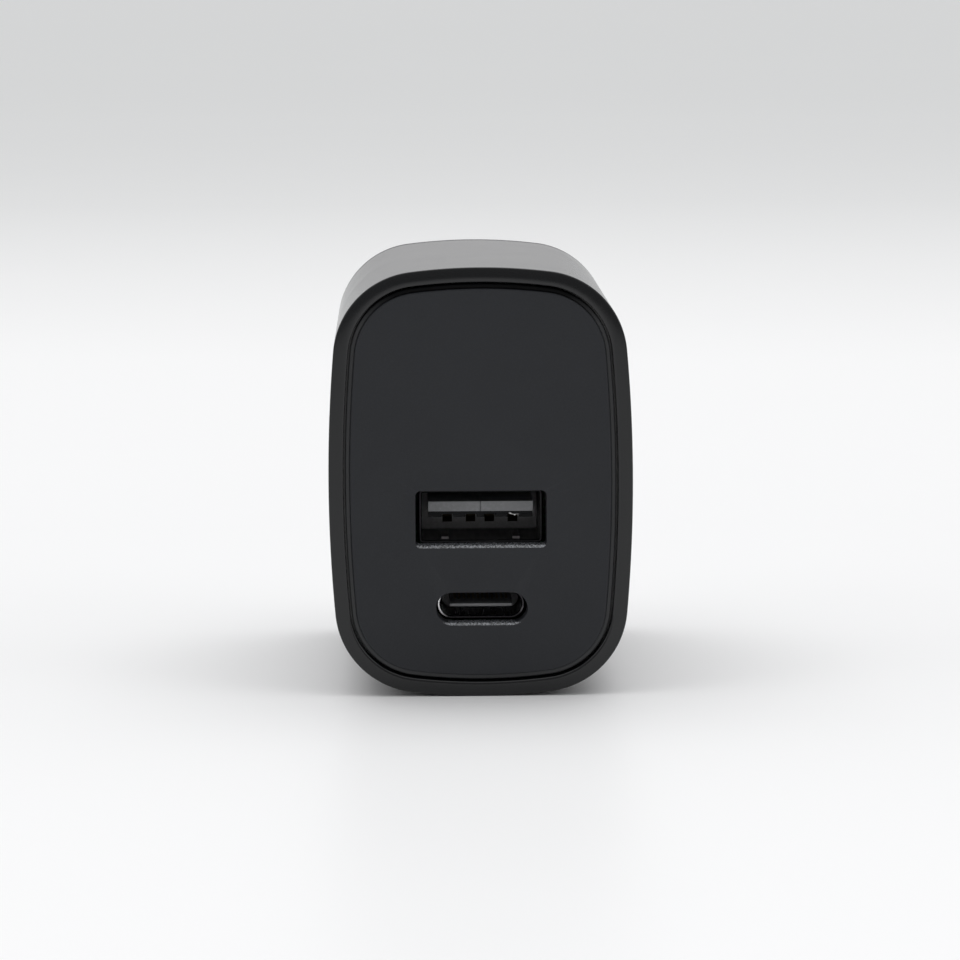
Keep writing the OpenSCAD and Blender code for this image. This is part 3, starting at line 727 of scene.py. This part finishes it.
# A small bright sliver at the fourth contact's tip, there only to give a glint: painted highlight.
glint = Piece()
glint.plate(rounded([(3.02, -3.66), (3.14, -3.61), (3.26, -3.66), (3.40, -3.775), (3.66, -3.80), (4.10, -3.785), (4.12, -3.835), (3.74, -3.865), (3.66, -3.97), (3.60, -3.98), (3.56, -3.875), (3.28, -3.835), (3.06, -3.75)][::-1], 0.012, 2), [], TS + 0.98, TS + 1.14, 0.012, 0.0, 2)
glint_obj = glint.make("usb_a_contact_glint", [M["bare"]], "charger")
springs_obj = springs.make("usb_a_contact_springs", [M["gold_dull"]], "charger", ["usb_a_contacts"])

ct = Piece()
tip = ct.tube([(rect(w, h, r, 0.0, PORT_C_Y), d) for w, h, r, d in ((6.58, 0.26, 0.09, 3.05), (6.64, 0.32, 0.11, 3.08), (6.69, 0.48, 0.14, 3.5), (6.69, 0.70, 0.16, 4.4), (6.69, 0.70, 0.16, 9.2))], False)
ct.cap([tip[0]])
ct.cap([tip[-1]])
ct.plate(rect(8.34, 2.56, 1.28, 0.0, PORT_C_Y, 14), [], 9.0, 14.2, 0.15, 0.05)
ct_obj = ct.make("usb_c_tongue_skin", [M["tongue_c"]], "charger", ["usb_c_tongue"])
cc = Piece()
for i in range(12):
    for sy in (-1, 1):
        cc.plate(rect(0.25, 0.07, 0.02, i * 0.5 - 2.75, PORT_C_Y + sy * 0.362, 2), [], 5.2, 9.0, 0.02, 0.0, 2)
cc_obj = cc.make("usb_c_pads", [M["gold_matte"]], "charger", ["usb_c_contacts"])


# ------------------------------------------------------------------ rear cover
DEPTH, HINGE_Y, HINGE_S = 2 * HALF_D, 8.7, 2 * HALF_D - 3.7


def solid(piece):
    mesh = bpy.data.meshes.new("part")
    mesh.from_pydata(piece.v, [], piece.f)
    bm = bmesh.new()
    bm.from_mesh(mesh)
    bmesh.ops.remove_doubles(bm, verts=bm.verts, dist=2e-7)
    bmesh.ops.recalc_face_normals(bm, faces=bm.faces)
    bm.to_mesh(mesh)
    bm.free()
    o = bpy.data.objects.new("part", mesh)
    bpy.context.scene.collection.objects.link(o)
    return o


def combine(target, piece, op):
    """The target joined with, or cut by, one closed piece."""
    other = solid(piece)
    b = target.modifiers.new("op", "BOOLEAN")
    b.operation, b.solver, b.object = op, "EXACT", other
    bpy.context.view_layer.update()
    done = bpy.data.meshes.new_from_object(target.evaluated_get(bpy.context.evaluated_depsgraph_get()))
    target.modifiers.clear()
    target.data = done
    bpy.data.objects.remove(other)


def bar(loop, s0, s1, to3=face_frame, r0=0.0, r1=0.0):
    p = Piece(to3)
    p.plate(loop, [], s0, s1, r0, r1)
    return p


def box_loop(x0, x1, y0, y1, r=0.0):
    return rect(x1 - x0, y1 - y0, r, (x0 + x1) / 2, (y0 + y1) / 2) if r else [(x1, y0), (x1, y1), (x0, y1), (x0, y0)]


body = Piece()
arc = [(2.4 * (1 - math.cos(a)), DEPTH - 2.4 + 2.4 * math.sin(a)) for a in [math.pi / 2 * i / 12 for i in range(13)]]
rings = body.tube([(face_outline(t), d) for t, d in [(0.10, SEAM), (0.03, SEAM + 0.03), (0.0, SEAM + 0.10)] + arc], False)
body.cap([rings[0]])
body.cap([rings[-1]])
cover = solid(body)
combine(cover, bar(face_outline(2.96), SEAM - 1, DEPTH - 2.4), "DIFFERENCE")
lip = Piece()
lip.plate(face_outline(1.96), [face_outline(2.95)], SEAM - 3, SEAM + 0.5)
combine(cover, lip, "UNION")
combine(cover, bar(box_loop(-12.6, 12.6, 3.35, 14.65, 0.8), DEPTH - 10.4, DEPTH - 1.0), "UNION")
combine(cover, bar(box_loop(-8.9, 8.9, -13.4, 8.7, 0.8), DEPTH - 8.6, DEPTH - 1.05), "UNION")
for sx in (-1, 1):
    for x, y in ((10.1, 15.8), (11.4, 0.6)):
        combine(cover, bar(circle(1.9, sx * x, y), DEPTH - 10.37, DEPTH - 1.03), "UNION")
    combine(cover, bar(circle(1.4, sx * 8.2, -16.8), DEPTH - 13.8, DEPTH - 1.07, r0=0.15), "UNION")
well = rounded(
    [(9.3, 4.85, 0.45), (9.3, 12.55, 0.45), (-9.3, 12.55, 0.45), (-9.3, 4.85, 0.45), (-7.5, 4.85, 0.3), (-7.5, -12.2, 0.5), (-5.2, -12.2, 0.3),
     (-5.2, -13.95, 0.5), (5.2, -13.95, 0.5), (5.2, -12.2, 0.3), (7.5, -12.2, 0.5), (7.5, 4.85, 0.3)], 0.3, 6)
island = box_loop(-5.2, 5.2, -1.25, 4.85, 0.45)
EDGE = 0.28
mouth = Piece()
tops, lows = [], []
for loop, sign in ((well, 1), (island, -1)):
    rs = [mouth.ring(inset(loop, -sign * EDGE), DEPTH + 1)]
    rs += [mouth.ring(inset(loop, -sign * EDGE * (1 - math.sin(a))), DEPTH - EDGE * (1 - math.cos(a))) for a in [math.pi / 2 * k / 5 for k in range(6)]]
    mouth.strips(rs)
    tops.append(rs[0])
    lows.append(rs[-1])
mouth.cap(tops)
mouth.cap(lows)
combine(cover, mouth, "DIFFERENCE")
combine(cover, bar(box_loop(-9.29, 9.29, 4.86, 12.54, 0.45), DEPTH - 13, DEPTH - EDGE + 0.03), "DIFFERENCE")
for sx in (-1, 1):
    x0, x1 = sorted((sx * 5.21, sx * 7.49))
    combine(cover, bar(box_loop(x0, x1, -12.19, 8.0, 0.5), DEPTH - 7.4, DEPTH - EDGE + 0.03), "DIFFERENCE")
    x0, x1 = sorted((sx * 5.215, sx * 7.485))
    combine(cover, bar(box_loop(x0, x1, 7.5, 13.95, 0.3), DEPTH - 13.02, DEPTH - 0.9), "DIFFERENCE")
    x0, x1 = sorted((sx * 9.0, sx * 11.5))
    seat = [(HINGE_Y + 1.95, HINGE_S), (HINGE_Y + 1.95, DEPTH - 13.04)] + [(HINGE_Y - 1.95, DEPTH - 13.04)]
    seat += [(HINGE_Y - 1.95 * math.cos(a), HINGE_S + 1.95 * math.sin(a)) for a in [math.pi * k / 20 for k in range(20)]]
    combine(cover, bar(seat, x0, x1, side_frame), "DIFFERENCE")
    for x, y in ((10.1, 15.8), (11.4, 0.6)):
        combine(cover, bar(circle(0.75, sx * x, y, 24), DEPTH - 13, DEPTH - 4), "DIFFERENCE")
combine(cover, bar(circle(6.5, -7.6, DEPTH + 1.4, 96), -5.225, 5.225, side_frame), "DIFFERENCE")
cover.name = cover.data.name = "cover_skin"
bm = bmesh.new()
bm.from_mesh(cover.data)
bmesh.ops.remove_doubles(bm, verts=bm.verts, dist=5e-7)
bmesh.ops.dissolve_degenerate(bm, edges=bm.edges, dist=1e-7)
bmesh.ops.holes_fill(bm, edges=[e for e in bm.edges if e.is_boundary], sides=0)
bmesh.ops.recalc_face_normals(bm, faces=bm.faces)
for f in bm.faces:
    f.smooth = True
    f.material_index = 0
bm.to_mesh(cover.data)
bm.free()
cover.data.materials.clear()
cover.data.materials.append(M["cover"])
cover.data.set_sharp_from_angle(angle=math.radians(35))
w = cover.modifiers.new("normals", "WEIGHTED_NORMAL")
w.keep_sharp = True
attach(cover, "charger")
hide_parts("rear_cover")

# ------------------------------------------------------------------ plug
def blade_piece(name, x, node):
    p = Piece(side_frame)
    hy, hs = 8.7, 2 * HALF_D - 3.7
    w, length = 6.35 / 2, 20.2
    pts = [(hy + 4.05, hs - 2.4, 0.5), (hy + 4.05, hs + 2.4, 0.5), (hy + 0.6, hs + 2.4, 0.3), (hy + 0.2, hs + w, 0.3), (hy - length + 1.4, hs + w, 0.8),
           (hy - length, hs + w - 1.1, 0.5), (hy - length, hs - w + 1.1, 0.5), (hy - length + 1.4, hs - w, 0.8), (hy + 0.2, hs - w, 0.3), (hy + 0.6, hs - 2.4, 0.3)]
    loop = rounded(pts, 0.3, 6)
    area = sum(a[0] * b[1] - b[0] * a[1] for a, b in zip(loop, loop[1:] + loop[:1]))
    if area < 0:
        loop = loop[::-1]
    hole = circle(1.6, hy - length + 4.2, hs, 48)
    p.plate(loop, [hole], x - 0.75, x + 0.75, 0.16, 0.16, 4)
    return p.make(name, [M["blade"]], "plug", [node])


blade_piece("blade_left_skin", -6.35, "blade_left")
blade_piece("blade_right_skin", 6.35, "blade_right")

# ------------------------------------------------------------------ electronics
def wire(piece, path, r, n=10, mat=0):
    """A closed loop of round wire along the points, which are in mm in the row's own directions."""
    k = len(path)
    pts = [Vector(p) for p in path]
    normal = (pts[1] - pts[0]).cross(pts[2] - pts[1]).normalized()
    rings = []
    for i in range(k):
        t = (pts[(i + 1) % k] - pts[i - 1]).normalized()
        side = t.cross(normal).normalized()
        ring = []
        for j in range(n):
            a = 2 * math.pi * j / n
            q = pts[i] + side * (r * math.cos(a)) + normal * (r * math.sin(a))
            piece.v.append(face_frame((q.x, q.y), q.z))
            piece.p.append((0, 0))
            ring.append(len(piece.v) - 1)
        rings.append(ring)
    piece.strips(rings, [mat] * k, True)


def can(piece, cx, cy, r, base, top, mats=(0, 1)):
    """An electrolytic capacitor: crimped base, body, rolled shoulder, and a scored top."""
    d = 1 if base > top else -1
    at = lambda x, y, h: face_frame((cx + x, cy + y), h)
    prof = [(0, 0.0), (r * 0.80, 0.0), (r * 0.86, 0.06), (r * 0.93, 0.12), (r * 0.985, 0.32), (r, 0.55), (r, 0.95), (r * 0.985, 1.15), (r * 0.93, 1.32),
            (r * 0.915, 1.45), (r * 0.93, 1.58), (r * 0.985, 1.75), (r, 1.95)]
    length = abs(base - top)
    prof += [(r, length - 0.75), (r * 0.985, length - 0.42), (r * 0.945, length - 0.16), (r * 0.885, length - 0.03), (r * 0.83, length), (r * 0.79, length - 0.04), (r * 0.775, length - 0.14), (0, length - 0.14)]
    start = len(piece.f)
    piece.turned([(a, base - d * h) for a, h in prof], at, 64, mats[0])
    for i in range(len(piece.f) - 64, len(piece.f)):
        piece.m[i] = mats[1]
    for w, h in ((r * 1.1, 0.10), (0.10, r * 1.1)):
        piece.plate(rect(w, h, 0.03, cx, cy, 2), [], *sorted((top + d * 0.22, top + d * 0.125)), 0.0, 0.0, 1, 2)


caps = Piece()
for x, y in ((-7.2, 13.2), (0, 14.6), (7.2, 13.2)):
    can(caps, x, y, 3.15, 14.5, 5.5)
caps.make("output_cans", [M["can"], M["can"], M["score"]], "charger", ["output_capacitors"], 50.0)
bulk = Piece()
for x in (-6.3, 6.3):
    can(bulk, x, 12.4, 4.9, 32.0, 17.2)
bulk.make("bulk_cans", [M["sleeve"], M["can"], M["score"]], "charger", ["bulk_capacitors"], 50.0)

coils = Piece()
for sign in (-1, 1):
    for k in range(10):
        a = math.radians(90 * (1 - sign) + (k - 4.5) * 13.6)
        ca, sa = math.cos(a), math.sin(a)
        path = []
        for u, v in rect(2.84, 2.34, 0.42, 3.60, 10.65, 4):
            path.append((v, -5.2 + u * sa, 25.9 + u * ca))
        wire(coils, path, 0.235, 10)
coils.make("choke_turns", [M["wire"]], "charger", ["choke_windings"], 60.0)

legs = Piece(side_frame)
for x0, x1, y0, y1 in ((-5.6, -0.8, 0.6, 5.2), (0.6, 5.6, 0.6, 5.4)):
    count = 4
    for k in range(count):
        x = x0 + (x1 - x0) * (k + 0.5) / count
        for y, sy in ((y0, -1), (y1, 1)):
            lead = [(y - sy * 0.15, 31.45), (y + sy * 0.32, 31.45), (y + sy * 0.45, 31.92), (y + sy * 0.85, 31.92), (y + sy * 0.85, 31.99), (y + sy * 0.36, 31.99), (y + sy * 0.24, 31.55), (y - sy * 0.15, 31.55)]
            legs.plate(lead if sy < 0 else lead[::-1], [], x - 0.2, x + 0.2, 0.0, 0.0)
legs.make("chip_legs", [M["steel"]], "charger")

# ------------------------------------------------------------------ carried-over nodes
FINISH = {
    "plug_retainer": ("inner", 0.12), "retainer_screws": ("steel", 0.06), "blade_carrier": ("carrier", 0.12),
    "detent_spring": ("spring", 0.05), "live_contact_spring": ("bronze", 0.05), "neutral_contact_spring": ("bronze", 0.05),
    "port_board": ("board", 0.05), "main_board": ("board", 0.05), "board_link_pins": ("pin", 0.08),
    "output_inductor": ("ferrite_grey", 0.2), "port_controller_chips": ("chip", 0.06),
    "insulation_sheet": ("film", 0.0), "transformer_core": ("ferrite", 0.2), "transformer_bobbin": ("bobbin", 0.1),
    "transformer_winding": ("tape", 0.3), "x_capacitor": ("x_case", 0.25), "y_capacitor": ("disc", 0.5),
    "choke_core": ("ring", 0.25), "fuse": ("fuse", 0.3), "bridge_rectifier": ("chip", 0.12),
    "power_switch_chip": ("chip", 0.08), "optocoupler": ("opto", 0.15), "heat_spreader": ("copper_strip", 0.05), "thermal_pad": ("pad", 0.15),
}
for name, (mat, width) in FINISH.items():
    o = NODES[name]
    o.data.materials.clear()
    o.data.materials.append(M[mat])
    if width:
        w = o.modifiers.new("weld", "WELD")
        w.merge_threshold = 1e-7
        d = o.modifiers.new("planar", "DECIMATE")
        d.decimate_type = "DISSOLVE"
        d.angle_limit = math.radians(0.4)
        b = o.modifiers.new("edges", "BEVEL")
        b.width = width / 1000
        b.segments = 3
        b.limit_method = "ANGLE"
        b.angle_limit = math.radians(32)
        b.use_clamp_overlap = True
        b.miter_outer = "MITER_ARC"
        b.harden_normals = False
        n = o.modifiers.new("normals", "WEIGHTED_NORMAL")
        n.keep_sharp = True

# ------------------------------------------------------------------ stage
floor_mesh = bpy.data.meshes.new("floor")
floor_mesh.from_pydata([(-14, -8, 0), (14, -8, 0), (14, 16, 0), (-14, 16, 0)], [], [(0, 1, 2, 3)])
floor_mat = Mat("floor")
fy = floor_mat.n.new("ShaderNodeSeparateXYZ")
floor_mat.l.new(floor_mat.coord, fy.inputs[0])
# Painted light and shade: the floor's colour rises and dips with distance, standing in for how the studio light falls
# off across the backdrop.
backdrop_falloff = floor_mat.remap(fy.outputs["Y"], 0.0, 1.0, 0.10, 2.6)
cloud = floor_mat.remap(floor_mat.noise(2.0), -0.01, 0.01)
floor_mat.set("Base Color", floor_mat.ramp(floor_mat.math("ADD", backdrop_falloff, cloud), [(0.0, (0.872, 0.874, 0.877)), (0.10, (0.92, 0.922, 0.924)), (0.156, (0.905, 0.908, 0.909)), (0.316, (0.862, 0.869, 0.868)), (0.59, (0.925, 0.935, 0.932)), (1.0, (0.95, 0.962, 0.958))]))
floor_mat.set("Roughness", floor_mat.remap(floor_mat.noise(14.0), 0.40, 0.44))
floor_mat.set("Specular IOR Level", 0.12)
floor_mesh.materials.append(floor_mat.m)
floor = bpy.data.objects.new("floor", floor_mesh)
bpy.context.scene.collection.objects.link(floor)

world = bpy.data.worlds.new("world")
bpy.context.scene.world = world
world.use_nodes = True
wt = world.node_tree
bg = wt.nodes["Background"]
tc = wt.nodes.new("ShaderNodeTexCoord")
sep = wt.nodes.new("ShaderNodeSeparateXYZ")
wt.links.new(tc.outputs["Generated"], sep.inputs[0])


def world_ramp(fac, stops, scale=1.0, shift=0.0):
    """A grey ramp over one part of the direction, as a node output."""
    k = wt.nodes.new("ShaderNodeMath")
    k.operation = "MULTIPLY_ADD"
    k.inputs[1].default_value, k.inputs[2].default_value = scale, shift
    wt.links.new(fac, k.inputs[0])
    r = wt.nodes.new("ShaderNodeValToRGB")
    e = r.color_ramp.elements
    while len(e) > 1:
        e.remove(e[-1])
    for i, (p, c) in enumerate(stops):
        x = e[0] if i == 0 else e.new(p)
        x.position, x.color = p, (c, c, c * 1.004, 1)
    wt.links.new(k.outputs[0], r.inputs["Fac"])
    return r.outputs["Color"]


height = world_ramp(sep.outputs["Z"], [(0.0, 0.60), (0.06, 0.60), (0.12, 0.66), (0.30, 0.86), (1.0, 1.02)])
ahead = world_ramp(sep.outputs["Y"], [(0.0, 0.36), (0.40, 0.50), (0.62, 0.97), (1.0, 1.0)], 0.5, 0.5)
mixed = wt.nodes.new("ShaderNodeMix")
mixed.data_type, mixed.blend_type = "RGBA", "MULTIPLY"
mixed.inputs["Factor"].default_value = 1.0
wt.links.new(height, mixed.inputs[6])
wt.links.new(ahead, mixed.inputs[7])
wt.links.new(mixed.outputs[2], bg.inputs["Color"])
bg.inputs["Strength"].default_value = 1.0


def area(name, loc, look, size, power, colour=(1, 1, 1)):
    d = bpy.data.lights.new(name, "AREA")
    d.shape = "RECTANGLE"
    d.size, d.size_y = size
    d.energy = power
    d.color = colour
    o = bpy.data.objects.new(name, d)
    o.location = loc
    o.rotation_mode = "QUATERNION"
    o.rotation_quaternion = (Vector(look) - Vector(loc)).to_track_quat("-Z", "Y")
    bpy.context.scene.collection.objects.link(o)
    return o


area("overhead", (0.0, 0.05, 0.95), (0, 0, 0.02), (1.3, 1.1), 5.3)
area("left", (-0.75, -0.45, 0.40), (0, 0, 0.02), (0.5, 0.7), 0.9)
area("right", (0.75, -0.45, 0.40), (0, 0, 0.02), (0.5, 0.7), 1.0)

# ------------------------------------------------------------------ camera
F_PX, PITCH, YAW, ROLL = 4205.5, 0.12305, -0.01972, 0.00492
DIST, OFF = 442.7, (0.88, 3.18)
right = Vector((math.cos(YAW), math.sin(YAW), 0))
fwd = Vector((-math.sin(YAW) * math.cos(PITCH), math.cos(YAW) * math.cos(PITCH), -math.sin(PITCH)))
up = Vector((-math.sin(YAW) * math.sin(PITCH), math.cos(YAW) * math.sin(PITCH), math.cos(PITCH)))
centre = Vector((0, -HALF_D, HALF_H))
place = centre - (right * (OFF[0] / F_PX * DIST) - up * (OFF[1] / F_PX * DIST) + fwd * DIST)
r2 = right * math.cos(ROLL) - up * math.sin(ROLL)
u2 = up * math.cos(ROLL) + right * math.sin(ROLL)
cam_data = bpy.data.cameras.new("camera")
cam_data.sensor_width = 36.0
cam_data.lens = F_PX / 960 * 36.0
cam_data.clip_start, cam_data.clip_end = 0.01, 60.0
cam = bpy.data.objects.new("camera", cam_data)
rot = Matrix((r2, u2, -fwd)).transposed()
cam.matrix_world = Matrix.Translation(place / 1000) @ rot.to_4x4()
bpy.context.scene.collection.objects.link(cam)
bpy.context.scene.camera = cam
bpy.context.scene.view_settings.view_transform = "Standard"
